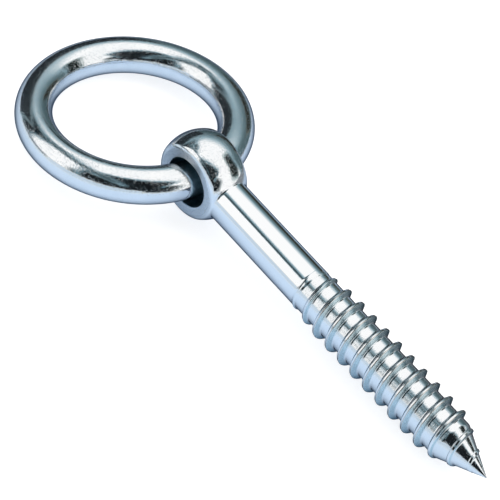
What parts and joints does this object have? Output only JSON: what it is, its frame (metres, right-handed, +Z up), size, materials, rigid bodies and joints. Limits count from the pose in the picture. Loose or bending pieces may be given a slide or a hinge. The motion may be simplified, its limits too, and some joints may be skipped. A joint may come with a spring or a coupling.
{
  "type": "ring screw eye",
  "caption": "Zinc-plated screw eye with a loose round-wire ring through its forged eye, to give timber or a plugged wall a swinging ring for rope, hook or chain.",
  "frame": {"origin": "middle of the footprint, on the surface that the part lies on", "axes": "+X from the ring towards the screw's point, Y along the hole through the eye, +Z up"},
  "size_m": [0.1342, 0.051, 0.019],
  "materials": {
    "bright_zinc": "bright blue-white zinc plating over steel, glossy, with faint yellow tints"
  },
  "bodies": {
    "eye_screw": {"eye_screw": "bright_zinc"},
    "ring": {"ring": "bright_zinc"}
  },
  "joints": [
    {"name": "ring_swing", "type": "hinge", "parent": "eye_screw", "child": "ring", "pos_m": [-0.01984, 0, 0.0095], "axis": [0, 1, 0], "range_deg": [-156, 176]}
  ]
}
